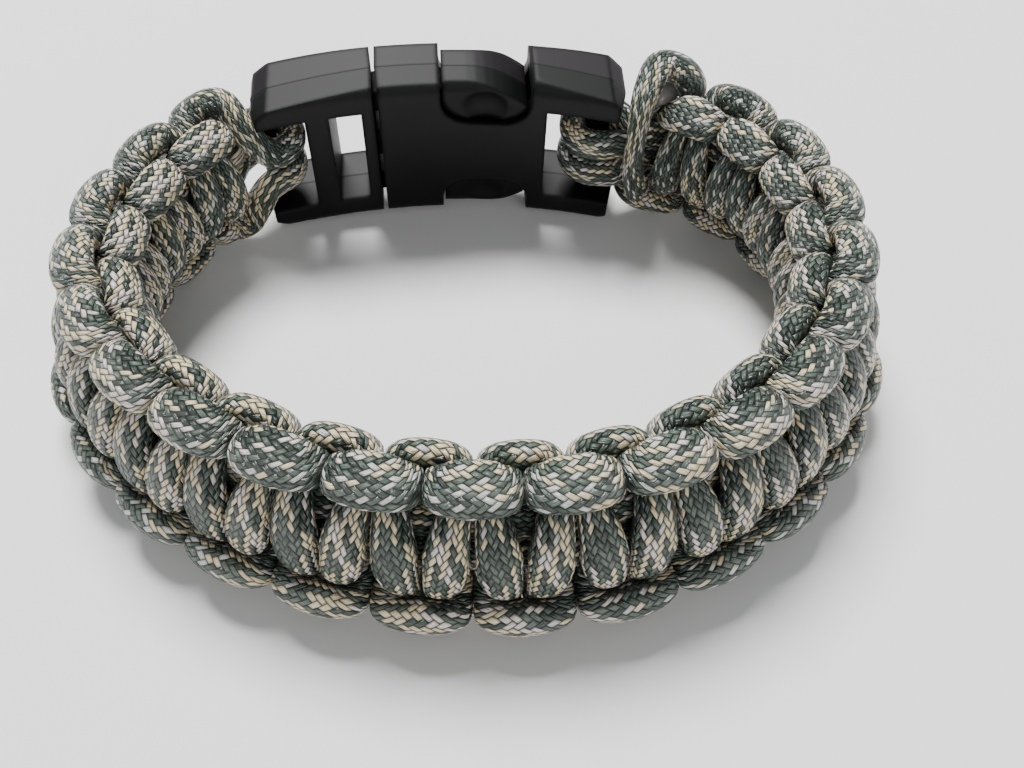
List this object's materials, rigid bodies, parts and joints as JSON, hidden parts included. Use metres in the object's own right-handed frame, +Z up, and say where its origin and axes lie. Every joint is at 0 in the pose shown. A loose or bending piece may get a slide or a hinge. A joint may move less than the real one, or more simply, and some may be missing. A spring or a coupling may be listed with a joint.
{
  "type": "paracord bracelet",
  "caption": "Wrist bracelet of knotted cord in a flat cobra weave, closed into a ring by a curved side-release buckle and lying on its edge.",
  "frame": {"origin": "centre of the bounding box at its bottom, on the surface the bracelet lies on", "axes": "+X along the ring's long way and the buckle, +Y towards the buckle, +Z up across the band's width"},
  "size_m": [0.0828, 0.0662, 0.022],
  "materials": {
    "cord": "matt braided polyamide, mottled green-grey, light grey and tan",
    "buckle": "satin black acetal"
  },
  "bodies": {
    "root": {"buckle_socket": "buckle", "buckle_plug": "buckle", "core_strand": "cord", "working_strand_a": "cord", "working_strand_b": "cord"}
  },
  "joints": []
}
